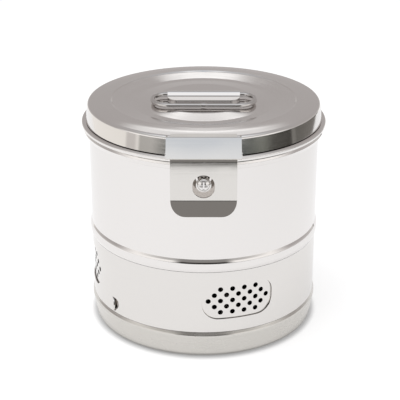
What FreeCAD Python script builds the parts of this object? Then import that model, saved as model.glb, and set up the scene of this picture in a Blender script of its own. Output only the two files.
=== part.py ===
# Sterilizing drum of polished stainless steel sheet, 150 mm across and 150 mm tall to the lid rim.
# Units are millimetres. The origin is on the drum axis at the underside of the base, +Z is up,
# the latch is at the front (-Y) and the lid hinge at the back (+Y).
# Azimuths are in degrees from the front, positive towards +X.
# The vents: a recessed wall with groups of punched holes, and round it a loose band with windows,
# which is turned by a lanced thumb catch to bring the windows over the holes or over blank wall.
import FreeCAD, Part
import math
import os

V = FreeCAD.Vector

# General sizes of the drum
body_radius = 75.0
lid_height = 150.0
shell_sheet = 0.5
lid_sheet = 0.6
seat_gap = 0.02

# Base pan: flat floor, tapered foot, half-round bead that stands proud of the wall
pan_sheet = 0.6
foot_proud = 0.4
foot_taper = 1.7
foot_height = 12.6
foot_corner = 3.2
pan_bead_proud = 0.9
pan_bead_flat = 0.7
pan_lip_height = 18.0
pan_lip_inset = 0.2
foot_radius_top = body_radius + foot_proud
foot_radius_floor = foot_radius_top - foot_taper

# Vent sleeve: the recessed wall behind the band
band_clearance = 0.3
band_sheet = 0.6
band_end_gap = 0.3
sleeve_overlap = 3.0
sleeve_joggle = 1.4
sleeve_foot_rise = 0.1

# Upper shell: middle bead, then the stepped shoulder and the neck, measured down from the lid rim
mid_bead_bottom = 60.6
mid_bead_height = 8.7
mid_bead_proud = 1.1
mid_bead_round = 5.0
mid_bead_lip = 0.15
neck_drop = 2.8
neck_inset = 0.7
neck_lip = 1.4
lid_skirt_height = 12.1
shoulder_seat = 0.4
shoulder_rise = 3.7
shoulder_fall = 8.7
shoulder_proud = 4.5
shoulder_roll = 1.3
shoulder_step_proud = 2.9
shoulder_low_proud = 3.5
shoulder_low_round = 1.5
neck_radius = body_radius - neck_inset
neck_top = lid_height - neck_drop
skirt_bottom = lid_height - lid_skirt_height
shoulder_top = skirt_bottom - shoulder_seat
shoulder_step = shoulder_top - shoulder_rise
shoulder_bottom = shoulder_top - shoulder_fall
shoulder_radius = body_radius + shoulder_proud
shoulder_step_radius = body_radius + shoulder_step_proud
shoulder_low_radius = body_radius + shoulder_low_proud

# Vent holes and windows
vent_azimuth = 17.3
vent_pitch = 100.0
vent_groups = 3
vent_height = 39.8
hole_diameter = 3.3
hole_pitch_deg = 6.0
hole_row_step = 4.0
holes_per_row = (4, 5, 6, 5, 4)
window_width = 46.6
window_height = 25.0
window_corner = 10.5

# Thumb catch, lanced out of the band
catch_azimuth = -52.2
catch_height = 23.7
catch_radius = 4.7
catch_slot = 0.3
catch_lift_deg = 26.0

# Lap joint of the band, in the gap that the windows leave
lap_width = 9.0
lap_rivet_pitch = 15.0
lap_rivet_count = 3

# How far a punch or a cutter runs past the sheet on each side
punch_reach = 3.0

# Lid: flat middle, pressed groove, step up to a crowned edge, flared skirt
neck_clearance = 0.5
skirt_flare = 1.4
panel_drop = 0.4
rim_width = 16.1
rim_step_run = 1.0
rim_step_rise = 0.8
rim_step_round = 0.8
crown_break_inset = 8.4
crown_break_drop = 0.42
crown_fall = 1.25
crown_round = 120.0
rim_corner = 2.2
groove_slope_width = 12.0
groove_floor_width = 4.0
groove_rise_width = 12.3
groove_depth = 1.2
groove_round = 20.0
skirt_top_radius = neck_radius + neck_clearance + lid_sheet
skirt_bottom_radius = skirt_top_radius + skirt_flare
panel_height = lid_height - panel_drop
crown_height = panel_height + rim_step_rise
skirt_top = crown_height - crown_fall
rim_foot_radius = skirt_top_radius - rim_width
crown_break_radius = skirt_top_radius - crown_break_inset
groove_outer_floor = rim_foot_radius - groove_rise_width
groove_inner_floor = groove_outer_floor - groove_floor_width
groove_inner_radius = groove_inner_floor - groove_slope_width

# Handle
bail_wire = 3.0
bail_width = 68.6
bail_depth = 24.8
bail_back_corner = 8.0
bail_front_corner = 12.0
bail_rest_gap = 0.06
bail_weld_length = 4.8
bail_weld_proud = 0.3
bail_weld_root = 0.05
clip_sheet = 0.8
clip_width = 46.8
clip_clearance = 0.06
clip_leaf_length = 10.2
clip_leaf_gap = 0.06
clip_fold_deg = 50.0
clip_leaf_fall = 0.8
clip_fold_bend = 0.8
clip_corner = 6.5
pivot_y = 0.4
clip_leaf_end = pivot_y - clip_leaf_length

# Latch bracket on the lid rim
bracket_sheet = 0.8
flange_width = 39.5
flange_length = 4.2
flange_notch = 0.6
roof_width = 44.8
roof_front_gap = 0.6
roof_run = 11.0
roof_drop = 9.6
roof_bend = 1.2
ear_depth = 10.9
ear_inset = 2.1
ear_corner = 0.6
flange_back = skirt_top_radius - flange_length
roof_top_y = -(skirt_top_radius + roof_front_gap)
roof_end_y = roof_top_y - roof_run
roof_end_z = lid_height - roof_drop
ear_bottom = lid_height - ear_depth
ear_front_y = roof_end_y + ear_inset

# Latch hasp, its pin and the stud that it closes over
latch_pin_out = 6.1
latch_pin_drop = 8.9
latch_pin_diameter = 2.0
pin_running_gap = 0.05
pin_head_proud = 0.4
pin_head_thickness = 0.5
hasp_sheet = 0.9
hasp_width = 39.8
hasp_face_out = 3.5
hasp_knee_drop = 3.5
hasp_bend_drop = 28.1
hasp_length = 37.2
hasp_lip_out = 3.6
hasp_bend = 1.5
hasp_roll_end = 0.6
hasp_corner = 9.0
hasp_hole_width = 13.2
hasp_hole_stretch = 1.2
stud_drop = 19.1
stud_head_diameter = 9.2
stud_head_edge = 0.8
stud_head_sunk = 0.35
stud_dome_height = 2.2
stud_shank_diameter = 4.0
stud_slot_width = 1.1
stud_slot_length = 5.0
stud_slot_depth = 1.1
spacer_diameter = 6.4
washer_diameter = 9.0
washer_thickness = 0.8
nut_across_flats = 7.0
nut_thickness = 3.2
stud_end_proud = 0.8
fixing_gap = 0.05
latch_pin_y = -(skirt_top_radius + latch_pin_out)
latch_pin_z = lid_height - latch_pin_drop
hasp_face_y = latch_pin_y - hasp_face_out
hasp_knee_z = latch_pin_z - hasp_knee_drop
hasp_bend_z = latch_pin_z - hasp_bend_drop
hasp_lip_y = hasp_face_y - hasp_lip_out
hasp_lip_z = latch_pin_z - hasp_length
stud_z = latch_pin_z - stud_drop
stud_tip_y = hasp_face_y + stud_head_sunk

# Rear hinge of the lid, its body leaf hung from the shoulder that it steps round
hinge_out = 3.7
hinge_drop = 8.8
hinge_pin_diameter = 2.5
hinge_sheet = 1.05
hinge_width = 24.0
hinge_lid_knuckle = 7.8
hinge_side_gap = 0.3
hinge_knee_rise = 2.7
hinge_pad_drop = 3.3
hinge_pad_height = 16.5
hinge_bend = 1.5
hinge_root = 3.0
lid_pad_drop = 2.6
rivet_shank_diameter = 2.2
rivet_head_diameter = 3.6
rivet_head_height = 1.0
rivet_tail_diameter = 3.2
rivet_tail_height = 0.4
rivet_spacing = 14.0
rivet_edge = 4.0
rivet_row_step = 8.0
lid_rivet_rise = 0.15
hinge_y = shoulder_radius + hinge_out
hinge_z = lid_height - hinge_drop
hinge_knee_z = shoulder_bottom + hinge_knee_rise
hinge_pad_top = shoulder_bottom - hinge_pad_drop
hinge_pad_bottom = hinge_pad_top - hinge_pad_height
lid_pad_top = lid_height - lid_pad_drop
body_rivet_rows = (hinge_pad_bottom + rivet_edge, hinge_pad_bottom + rivet_edge + rivet_row_step)


def turned(shape, azimuth):
    """Return the shape, modelled at the front, turned about the drum axis to an azimuth."""
    copy = shape.copy()
    copy.rotate(V(0, 0, 0), V(0, 0, 1), azimuth)
    return copy


def unit(start, end):
    """Return the unit vector between two section points."""
    length = math.hypot(end[0] - start[0], end[1] - start[1])
    return ((end[0] - start[0]) / length, (end[1] - start[1]) / length)


def corner_radius(point):
    """Return the rounding written as a section point's third value, or none."""
    return point[2] if len(point) > 2 else 0.0


def offset_path(points, distance):
    """Return a section path moved to the right of its travel, with its roundings kept concentric."""
    moved = []
    last = len(points) - 1
    for index, point in enumerate(points):
        before = unit(points[index - 1], point) if index > 0 else unit(point, points[1])
        after = unit(point, points[index + 1]) if index < last else before
        normal_before = (before[1], -before[0])
        normal_after = (after[1], -after[0])
        scale = distance / (1.0 + normal_before[0] * normal_after[0] + normal_before[1] * normal_after[1])
        left_turn = before[0] * after[1] - before[1] * after[0] > 0
        radius = corner_radius(point)
        if radius > 0:
            radius = max(radius + (distance if left_turn else -distance), 0.0)
        moved.append((point[0] + scale * (normal_before[0] + normal_after[0]),
                      point[1] + scale * (normal_before[1] + normal_after[1]), radius))
    return moved


def path_edges(points, place):
    """Return lines and tangent arcs through section points, placed in space by a function."""
    edges = []
    current = points[0][:2]
    for index in range(1, len(points)):
        point = points[index]
        radius = corner_radius(point)
        if index == len(points) - 1 or radius < 0.01:
            edges.append(Part.makeLine(place(*current), place(*point[:2])))
            current = point[:2]
            continue
        arrive = unit(points[index - 1], point)
        leave = unit(point, points[index + 1])
        half_turn = math.acos(max(-1.0, min(1.0, arrive[0] * leave[0] + arrive[1] * leave[1]))) / 2.0
        setback = radius * math.tan(half_turn)
        inward = unit((arrive[0], arrive[1]), (leave[0], leave[1]))
        begin = (point[0] - arrive[0] * setback, point[1] - arrive[1] * setback)
        finish = (point[0] + leave[0] * setback, point[1] + leave[1] * setback)
        to_middle = radius / math.cos(half_turn) - radius
        middle = (point[0] + inward[0] * to_middle, point[1] + inward[1] * to_middle)
        if math.hypot(begin[0] - current[0], begin[1] - current[1]) > 0.001:
            edges.append(Part.makeLine(place(*current), place(*begin)))
        edges.append(Part.Arc(place(*begin), place(*middle), place(*finish)).toShape())
        current = finish
    return edges


def closed_face(points, place):
    """Return the face inside a closed section outline."""
    loop = list(points) + [points[0][:2]]
    return Part.Face(Part.Wire(Part.__sortEdges__(path_edges(loop, place))))


def sheet_face(points, thickness, place):
    """Return the cut face of a bent sheet whose visible side follows the points."""
    hidden = offset_path(points, thickness)
    edges = path_edges(points, place)
    edges.append(Part.makeLine(place(*points[-1][:2]), place(*hidden[-1][:2])))
    edges.extend(path_edges(hidden, place))
    edges.append(Part.makeLine(place(*hidden[0][:2]), place(*points[0][:2])))
    return Part.Face(Part.Wire(Part.__sortEdges__(edges)))


def spun(points, thickness):
    """Return a sheet shell spun about the drum axis from its outer profile of radius and height."""
    face = sheet_face(points, thickness, lambda radius, height: V(radius, 0, height))
    return face.revolve(V(0, 0, 0), V(0, 0, 1), 360)


def spun_solid(points):
    """Return a full solid of revolution about the drum axis from a closed profile."""
    face = closed_face(points, lambda radius, height: V(radius, 0, height))
    return face.revolve(V(0, 0, 0), V(0, 0, 1), 360)


def folded(points, thickness, width):
    """Return a sheet strip bent about X, centred on the drum's middle plane."""
    face = sheet_face(points, thickness, lambda y, z: V(-width / 2.0, y, z))
    return face.extrude(V(width, 0, 0))


def plate_x(points, x_from, x_to):
    """Return a flat plate across X from an outline in Y and Z."""
    return closed_face(points, lambda y, z: V(x_from, y, z)).extrude(V(x_to - x_from, 0, 0))


def bar_x(radius, x_from, x_to, y, z):
    """Return a round bar along X."""
    return Part.makeCylinder(radius, x_to - x_from, V(x_from, y, z), V(1, 0, 0))


def rod_y(radius, y_from, y_to, z):
    """Return a round rod along Y in the drum's middle plane."""
    return Part.makeCylinder(radius, y_to - y_from, V(0, y_from, z), V(0, 1, 0))


def box(x_from, x_to, y_from, y_to, z_from, z_to):
    """Return a block between two corners."""
    return Part.makeBox(x_to - x_from, y_to - y_from, z_to - z_from, V(x_from, y_from, z_from))


def domed_pin(crown_y, head, rise, rest, z):
    """Return a pin turned about a front-to-back axis: a round cap, then steps given as radius and Y."""
    radius = (head ** 2 + rise ** 2) / (2.0 * rise)
    half_angle = math.asin(head / radius) / 2.0
    middle = V(radius * math.sin(half_angle), crown_y + radius * (1.0 - math.cos(half_angle)), z)
    rim = V(head, crown_y + rise, z)
    cap = Part.Arc(V(0, crown_y, z), middle, rim).toShape()
    corners = [rim] + [V(out, y, z) for out, y in rest] + [V(0, crown_y, z)]
    face = Part.Face(Part.Wire(Part.__sortEdges__([cap] + Part.makePolygon(corners).Edges)))
    return face.revolve(V(0, 0, z), V(0, 1, 0), 360)


def base_pan():
    """Pressed pan: flat floor, tapered foot and a bead rolled outward at its lip."""
    bead_radius = body_radius + pan_bead_proud
    bead_middle = (foot_height + pan_lip_height) / 2.0
    profile = [(body_radius - pan_lip_inset, pan_lip_height),
               (bead_radius, bead_middle + pan_bead_flat, pan_lip_height - bead_middle),
               (bead_radius, bead_middle - pan_bead_flat, pan_lip_height - bead_middle),
               (foot_radius_top, foot_height),
               (foot_radius_floor, 0.0, foot_corner),
               (0.0, 0.0)]
    return spun(profile, pan_sheet)


def sleeve_radius():
    """Outer radius of the vent sleeve: the band and its clearance inside the drum radius."""
    return body_radius - band_sheet - band_clearance


def sleeve_bottom():
    """Height at which the tapered foot has closed in to the sleeve, which stands there."""
    taper = (foot_radius_top - foot_radius_floor) / foot_height
    inner_at_floor = foot_radius_floor - pan_sheet
    return (sleeve_radius() + 2.0 * seat_gap - inner_at_floor) / taper + sleeve_foot_rise


def group_azimuths():
    """Azimuths of the hole groups, and of the windows over them, spread about the front one."""
    return [vent_azimuth + (group - (vent_groups - 1) / 2.0) * vent_pitch for group in range(vent_groups)]


def vent_sleeve():
    """Recessed lower wall with groups of punched holes, tucked inside the upper shell at its top."""
    tuck_radius = body_radius - shell_sheet - 2.0 * seat_gap
    mouth = mid_bead_bottom + mid_bead_height
    profile = [(tuck_radius, mouth + sleeve_overlap),
               (tuck_radius, mid_bead_bottom + sleeve_joggle + shell_sheet),
               (sleeve_radius(), mid_bead_bottom + shell_sheet),
               (sleeve_radius(), sleeve_bottom())]
    sleeve = spun(profile, shell_sheet)
    punches = []
    for centre in group_azimuths():
        for row, count in enumerate(holes_per_row):
            height = vent_height + (row - (len(holes_per_row) - 1) / 2.0) * hole_row_step
            for place in range(count):
                azimuth = centre + (place - (count - 1) / 2.0) * hole_pitch_deg
                punch = rod_y(hole_diameter / 2.0, -body_radius, -body_radius + punch_reach, height)
                punches.append(turned(punch, azimuth))
    return sleeve.cut(punches)


def upper_shell():
    """Spun wall with the neck for the lid, the stepped shoulder and the middle bead."""
    mid_bead_top = mid_bead_bottom + mid_bead_height
    bead_radius = body_radius + mid_bead_proud
    profile = [(neck_radius - neck_lip, neck_top),
               (neck_radius, neck_top, neck_lip / 2.0),
               (neck_radius, shoulder_top),
               (shoulder_radius, shoulder_top, shoulder_roll),
               (shoulder_radius, shoulder_step + shoulder_roll, shoulder_roll),
               (shoulder_step_radius, shoulder_step),
               (shoulder_low_radius, shoulder_step - shoulder_low_round, shoulder_low_round / 2.0),
               (shoulder_low_radius - shoulder_low_round, shoulder_bottom + shell_sheet,
                shoulder_low_round / 2.0),
               (body_radius, shoulder_bottom),
               (body_radius, mid_bead_top),
               (bead_radius, mid_bead_top - mid_bead_height / 4.0, mid_bead_round),
               (bead_radius, mid_bead_bottom + mid_bead_height / 4.0, mid_bead_round),
               (body_radius + mid_bead_lip, mid_bead_bottom)]
    shell = spun(profile, shell_sheet)
    stud_hole = rod_y(stud_shank_diameter / 2.0 + fixing_gap, -body_radius - punch_reach,
                      -body_radius + punch_reach, stud_z)
    rivet_holes = []
    for height in body_rivet_rows:
        for side in (-1, 1):
            rivet_holes.append(rivet_bore(body_radius, side, height, 0.0))
    return shell.cut([stud_hole] + rivet_holes)


def window_cutter():
    """Rounded window outline, pushed through the band at the front."""
    half = window_width / 2.0
    low = vent_height - window_height / 2.0
    high = vent_height + window_height / 2.0
    outline = [(0.0, low), (half, low, window_corner), (half, high, window_corner),
               (-half, high, window_corner), (-half, low, window_corner)]
    chord_depth = body_radius - math.sqrt(body_radius ** 2 - half ** 2)
    face = closed_face(outline, lambda x, z: V(x, -body_radius - punch_reach, z))
    return face.extrude(V(0, chord_depth + 2.0 * punch_reach, 0))


def half_disc(radius, y_from, thickness):
    """Half disc on the +X side of the front, its straight edge upright."""
    disc = rod_y(radius, y_from, y_from + thickness, catch_height)
    left_half = box(-2.0 * radius, 0.0, y_from - thickness, y_from + 2.0 * thickness,
                    catch_height - 2.0 * radius, catch_height + 2.0 * radius)
    return disc.cut(left_half)


def lap_azimuth():
    """Azimuth of the lap joint, opposite the middle window."""
    return vent_azimuth + 180.0


def lap_rivet_heights():
    """Heights of the lap joint's rivets, spread about the middle of the band."""
    middle = (pan_lip_height + mid_bead_bottom) / 2.0
    centred = [index - (lap_rivet_count - 1) / 2.0 for index in range(lap_rivet_count)]
    return [middle + step * lap_rivet_pitch for step in centred]


def shutter_band():
    """Loose sheet band with windows, a lap joint and a thumb catch lanced out of it."""
    low = pan_lip_height + band_end_gap
    high = mid_bead_bottom - band_end_gap
    band = spun([(body_radius, high), (body_radius, low)], band_sheet)
    lap_angle = math.degrees(lap_width / body_radius)
    lap_face = closed_face([(body_radius - band_sheet / 2.0, low), (body_radius + band_sheet, low),
                            (body_radius + band_sheet, high), (body_radius - band_sheet / 2.0, high)],
                           lambda radius, height: V(0, -radius, height))
    lap = lap_face.revolve(V(0, 0, 0), V(0, 0, 1), lap_angle)
    band = band.fuse(turned(lap, lap_azimuth() - lap_angle / 2.0))
    cutters = [turned(window_cutter(), azimuth) for azimuth in group_azimuths()]
    slot = half_disc(catch_radius + catch_slot, -body_radius - punch_reach, 2.0 * punch_reach)
    cutters.append(turned(slot, catch_azimuth))
    for height in lap_rivet_heights():
        bore = rod_y(rivet_shank_diameter / 2.0 + seat_gap, -body_radius - punch_reach,
                     -body_radius + punch_reach, height)
        cutters.append(turned(bore, lap_azimuth()))
    band = band.cut(cutters)
    tongue = half_disc(catch_radius, -body_radius, band_sheet)
    root = box(-band_sheet, fixing_gap, -body_radius, -body_radius + band_sheet,
               catch_height - catch_radius, catch_height + catch_radius)
    tongue.rotate(V(0, -body_radius + band_sheet / 2.0, 0), V(0, 0, 1), -catch_lift_deg)
    tongue = tongue.fuse(root)
    return band.fuse(turned(tongue, catch_azimuth)).removeSplitter()


def band_rivets():
    """Rivets of the lap joint: domed outside, cut off flush inside so that the band slides."""
    rivets = []
    face_y = -(body_radius + band_sheet + seat_gap)
    inner_y = -(body_radius - band_sheet)
    for height in lap_rivet_heights():
        rivets.append(turned(rivet(face_y, inner_y, False, height), lap_azimuth()))
    return Part.makeCompound(rivets)


def rivet(head_y, tail_y, with_tail, height):
    """Rivet along Y at the front, its domed head outward, with or without a flat inner head."""
    shank = rivet_shank_diameter / 2.0
    tail = rivet_tail_diameter / 2.0
    end_y = tail_y + rivet_tail_height
    rest = [(shank, head_y), (shank, tail_y)]
    rest += [(tail, tail_y), (tail, end_y), (0.0, end_y)] if with_tail else [(0.0, tail_y)]
    return domed_pin(head_y - rivet_head_height, rivet_head_diameter / 2.0, rivet_head_height, rest, height)


def rivet_side_angle(radius):
    """Angle from the back at which a hinge rivet sits on a wall of this radius."""
    return math.degrees(math.asin(rivet_spacing / 2.0 / radius))


def rivet_bore(radius, side, height, lean):
    """Cutter for a hinge rivet's shank through leaf and wall, leaning as the wall does."""
    bore = rod_y(rivet_shank_diameter / 2.0 + seat_gap, -radius - punch_reach, -radius + punch_reach, height)
    bore.rotate(V(0, -radius, height), V(1, 0, 0), -lean)
    return turned(bore, 180.0 + side * rivet_side_angle(body_radius))


def skirt_radius(height):
    """Outer radius of the lid's flared skirt at a height."""
    share = (skirt_top - height) / (skirt_top - skirt_bottom)
    return skirt_top_radius + (skirt_bottom_radius - skirt_top_radius) * share


def skirt_lean():
    """Angle of the flared skirt from the upright."""
    return math.degrees(math.atan2(skirt_bottom_radius - skirt_top_radius, skirt_top - skirt_bottom))


def crown_height_at(radius):
    """Height of the lid's crowned edge outside the break in its slope."""
    break_height = crown_height - crown_break_drop
    share = (radius - crown_break_radius) / crown_break_inset
    return break_height + (skirt_top - break_height) * share


def lid_rivet_height():
    """Height of the lid leaf's rivets, just above the leaf's arm."""
    return hinge_z + hinge_roll() + rivet_head_diameter / 2.0 + lid_rivet_rise


def lid_profile():
    """Outer profile of the lid from its centre to the edge of its skirt."""
    groove_floor = panel_height - groove_depth
    return [(0.0, panel_height),
            (groove_inner_radius, panel_height, groove_round),
            (groove_inner_floor, groove_floor, groove_round),
            (groove_outer_floor, groove_floor, groove_round),
            (rim_foot_radius, panel_height),
            (rim_foot_radius + rim_step_run, crown_height, rim_step_round),
            (crown_break_radius, crown_height - crown_break_drop, crown_round),
            (skirt_top_radius, skirt_top, rim_corner),
            (skirt_bottom_radius, skirt_bottom)]


def lid_envelope():
    """Outside of the lid as a full solid, a seating gap larger, for what is fixed on it."""
    outside = offset_path(lid_profile(), -seat_gap)
    outside.append((0.0, skirt_bottom))
    return spun_solid(outside)


def lid_rivet_bores():
    """Cutters for the two rivets of the lid leaf."""
    height = lid_rivet_height()
    return [rivet_bore(skirt_radius(height), side, height, skirt_lean()) for side in (-1, 1)]


def lid_pan():
    """Pressed lid with a groove, a crowned edge and a skirt that flares over the neck."""
    lid = spun(lid_profile(), lid_sheet)
    return lid.cut(lid_rivet_bores())


def clip_seat():
    """Height of the clip's underside on the flat middle of the lid."""
    return panel_height + seat_gap


def bail_height():
    """Height of the handle's pivot: the clip's lower leaf, its clearance and half the wire."""
    return clip_seat() + clip_sheet + clip_clearance + bail_wire / 2.0


def bail_front_y():
    """Y of the handle's front run while the handle is level."""
    return pivot_y - (bail_depth - bail_wire)


def bail_droop():
    """Angle by which the handle hangs below level when its weld rests on the lid."""
    drop = bail_height() - bail_wire / 2.0 - bail_weld_proud - bail_rest_gap - panel_height
    return math.degrees(math.asin(drop / (pivot_y - bail_front_y())))


def bail_outline():
    """Corners of the handle's centre line: half its back run, its sides and its front run."""
    half_width = (bail_width - bail_wire) / 2.0
    front_y = bail_front_y()
    return [(0.0, pivot_y),
            (half_width, pivot_y, bail_back_corner),
            (half_width, front_y, bail_front_corner),
            (-half_width, front_y, bail_front_corner),
            (-half_width, pivot_y, bail_back_corner),
            (0.0, pivot_y)]


def weld_lump():
    """Swollen butt weld round the middle of the handle's front run."""
    height = bail_height()
    front_y = bail_front_y()
    half = bail_weld_length / 2.0
    root = bail_wire / 2.0 - bail_weld_root
    crown = bail_wire / 2.0 + bail_weld_proud
    arc = Part.Arc(V(-half, front_y, height + root), V(0, front_y, height + crown),
                   V(half, front_y, height + root)).toShape()
    sides = Part.makePolygon([V(half, front_y, height + root), V(half, front_y, height),
                              V(-half, front_y, height), V(-half, front_y, height + root)])
    face = Part.Face(Part.Wire(Part.__sortEdges__([arc] + sides.Edges)))
    return face.revolve(V(0, front_y, height), V(1, 0, 0), 360)


def handle_bail():
    """Closed wire handle lying forward on the lid, its ends butt welded in the middle of the front run."""
    height = bail_height()
    path = Part.Wire(path_edges(bail_outline(), lambda x, y: V(x, y, height)))
    section = Part.Wire(Part.makeCircle(bail_wire / 2.0, V(0, pivot_y, height), V(1, 0, 0)))
    bail = path.makePipeShell([section], True, False).fuse(weld_lump())
    bail.rotate(V(0, pivot_y, height), V(1, 0, 0), bail_droop())
    return bail


def handle_clip():
    """Sheet strip folded over the handle's back run, its upper leaf falling to the lower one's edge."""
    roll = bail_wire / 2.0 + clip_clearance + clip_sheet
    top = bail_height() + roll
    slope = math.radians(clip_fold_deg)
    leaf_front = clip_seat() + 2.0 * clip_sheet + clip_leaf_gap
    leaf_back = leaf_front + clip_leaf_fall
    fold_y = pivot_y - roll * math.tan(slope / 2.0)
    landing_y = fold_y - (top - leaf_back) / math.tan(slope)
    path = [(clip_leaf_end, leaf_front),
            (landing_y, leaf_back, clip_fold_bend),
            (fold_y, top, roll),
            (pivot_y + roll, top, roll),
            (pivot_y + roll, clip_seat(), roll),
            (clip_leaf_end, clip_seat())]
    clip = folded(path, clip_sheet, clip_width)
    return clip.cut([clip_corner_cutter(side) for side in (-1, 1)])


def clip_corner_cutter(side):
    """What rounds off a front corner of the clip's leaves."""
    edge_x = side * clip_width / 2.0
    inner_x = edge_x - side * clip_corner
    outer_x = edge_x + side * clip_sheet
    low = clip_seat() - clip_sheet
    high = bail_height() + bail_wire
    block = box(min(outer_x, inner_x), max(outer_x, inner_x),
                clip_leaf_end - clip_sheet, clip_leaf_end + clip_corner, low, high)
    keep = Part.makeCylinder(clip_corner, high - low, V(inner_x, clip_leaf_end + clip_corner, low))
    return block.cut(keep)


def latch_bracket():
    """Bracket welded on the lid rim: flange, sloped roof over the hasp and two ears for its pin."""
    rise = bracket_sheet + seat_gap
    flange_z = crown_height_at(flange_back) + rise
    path = [(roof_end_y, roof_end_z),
            (roof_top_y, crown_height_at(-roof_top_y) + rise, roof_bend),
            (-flange_back, flange_z)]
    bracket = folded(path, bracket_sheet, roof_width)
    ear_outline = [(-flange_back, flange_z - bracket_sheet), (roof_top_y, flange_z - bracket_sheet),
                   (roof_end_y + bracket_sheet, roof_end_z - bracket_sheet / 4.0),
                   (ear_front_y, ear_bottom, ear_corner),
                   (-flange_back, ear_bottom)]
    for side in (-1, 1):
        x_outer = side * roof_width / 2.0
        x_inner = x_outer - side * bracket_sheet
        x_notch = side * flange_width / 2.0
        x_past = x_outer + side * bracket_sheet
        bracket = bracket.cut(box(min(x_notch, x_past), max(x_notch, x_past), roof_top_y + flange_notch,
                                  -flange_back + bracket_sheet, ear_bottom, flange_z + bracket_sheet))
        bracket = bracket.fuse(plate_x(ear_outline, min(x_inner, x_outer), max(x_inner, x_outer)))
    bore = bar_x(latch_pin_diameter / 2.0 + seat_gap, -roof_width, roof_width, latch_pin_y, latch_pin_z)
    return bracket.cut([lid_envelope(), bore]).removeSplitter()


def headed_pin(diameter, half_length, y, z):
    """Pin along X with both ends peened over."""
    pin = bar_x(diameter / 2.0, -half_length, half_length, y, z)
    head = diameter / 2.0 + pin_head_proud
    for start in (-half_length - pin_head_thickness, half_length):
        pin = pin.fuse(bar_x(head, start, start + pin_head_thickness, y, z))
    return pin.removeSplitter()


def latch_pin():
    """Pin through the bracket's ears, on which the hasp swings."""
    return headed_pin(latch_pin_diameter, roof_width / 2.0 + seat_gap, latch_pin_y, latch_pin_z)


def latch_hasp():
    """Hasp: rolled over its pin, flat over the stud, flared at the bottom as a finger lip."""
    roll = latch_pin_diameter / 2.0 + pin_running_gap + hasp_sheet
    reach = math.hypot(hasp_face_y - latch_pin_y, hasp_knee_z - latch_pin_z)
    knee_angle = math.atan2(hasp_knee_z - latch_pin_z, hasp_face_y - latch_pin_y)
    touch_angle = knee_angle - math.acos(roll / reach)
    touch = (latch_pin_y + roll * math.cos(touch_angle), latch_pin_z + roll * math.sin(touch_angle))
    top = latch_pin_z + roll
    shoulder_y = touch[0] + (hasp_face_y - touch[0]) * (top - touch[1]) / (hasp_knee_z - touch[1])
    path = [(hasp_lip_y, hasp_lip_z),
            (hasp_face_y, hasp_bend_z, hasp_bend),
            (hasp_face_y, hasp_knee_z, hasp_bend),
            (shoulder_y, top, roll),
            (latch_pin_y + roll, top, roll),
            (latch_pin_y + roll, latch_pin_z - hasp_roll_end)]
    hasp = folded(path, hasp_sheet, hasp_width)
    return hasp.cut([hasp_hole()] + [hasp_corner_cutter(side) for side in (-1, 1)])


def hasp_hole():
    """Cutter for the hasp's upright oval hole round the stud."""
    half = hasp_hole_width / 2.0
    rise = hasp_hole_stretch / 2.0
    front = hasp_face_y - punch_reach
    back = hasp_face_y + punch_reach
    middle = box(-half, half, front, back, stud_z - rise, stud_z + rise)
    return middle.fuse([rod_y(half, front, back, stud_z - rise), rod_y(half, front, back, stud_z + rise)])


def hasp_corner_cutter(side):
    """What rounds off a lower corner of the hasp."""
    edge_x = side * hasp_width / 2.0
    inner_x = edge_x - side * hasp_corner
    outer_x = edge_x + side * hasp_sheet
    corner_z = hasp_lip_z + hasp_corner
    front = hasp_lip_y - hasp_sheet
    back = hasp_face_y + punch_reach
    block = box(min(outer_x, inner_x), max(outer_x, inner_x), front, back, hasp_lip_z - hasp_sheet, corner_z)
    keep = Part.makeCylinder(hasp_corner, back - front, V(inner_x, front, corner_z), V(0, 1, 0))
    return block.cut(keep)


def stud_head_back():
    """Y of the flat underside of the stud's head."""
    return stud_tip_y + stud_dome_height + stud_head_edge


def washer_front():
    """Y of the washer's outer face, seated on the inside of the curved wall."""
    inner_radius = body_radius - shell_sheet
    return -math.sqrt(inner_radius ** 2 - (washer_diameter / 2.0) ** 2) + seat_gap


def latch_stud():
    """Domed screw with a cross recess, through the wall to its nut inside the drum."""
    shank = stud_shank_diameter / 2.0
    end_y = washer_front() + washer_thickness + nut_thickness + stud_end_proud
    rest = [(stud_head_diameter / 2.0, stud_head_back()), (shank, stud_head_back()),
            (shank, end_y), (0.0, end_y)]
    stud = domed_pin(stud_tip_y, stud_head_diameter / 2.0, stud_dome_height, rest, stud_z)
    half_long = stud_slot_length / 2.0
    half_wide = stud_slot_width / 2.0
    start_y = stud_tip_y - stud_slot_depth
    floor_y = stud_tip_y + stud_slot_depth
    upright = box(-half_wide, half_wide, start_y, floor_y, stud_z - half_long, stud_z + half_long)
    level = box(-half_long, half_long, start_y, floor_y, stud_z - half_wide, stud_z + half_wide)
    return stud.cut([upright, level])


def stud_bore():
    """Cutter for the clearance hole of everything threaded on the stud."""
    return rod_y(stud_shank_diameter / 2.0 + fixing_gap, stud_tip_y, 0.0, stud_z)


def stud_spacer():
    """Sleeve between the wall and the stud's head."""
    return rod_y(spacer_diameter / 2.0, stud_head_back(), -body_radius - seat_gap, stud_z).cut(stud_bore())


def stud_washer():
    """Flat washer inside the drum."""
    front = washer_front()
    return rod_y(washer_diameter / 2.0, front, front + washer_thickness, stud_z).cut(stud_bore())


def stud_nut():
    """Hexagon nut on the stud, inside the drum."""
    front = washer_front() + washer_thickness
    corner = nut_across_flats / math.sqrt(3.0)
    corners = []
    for index in range(6):
        angle = math.radians(60.0 * index)
        corners.append((corner * math.cos(angle), stud_z + corner * math.sin(angle)))
    nut = closed_face(corners, lambda x, z: V(x, front, z)).extrude(V(0, nut_thickness, 0))
    return nut.cut(stud_bore())


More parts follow.
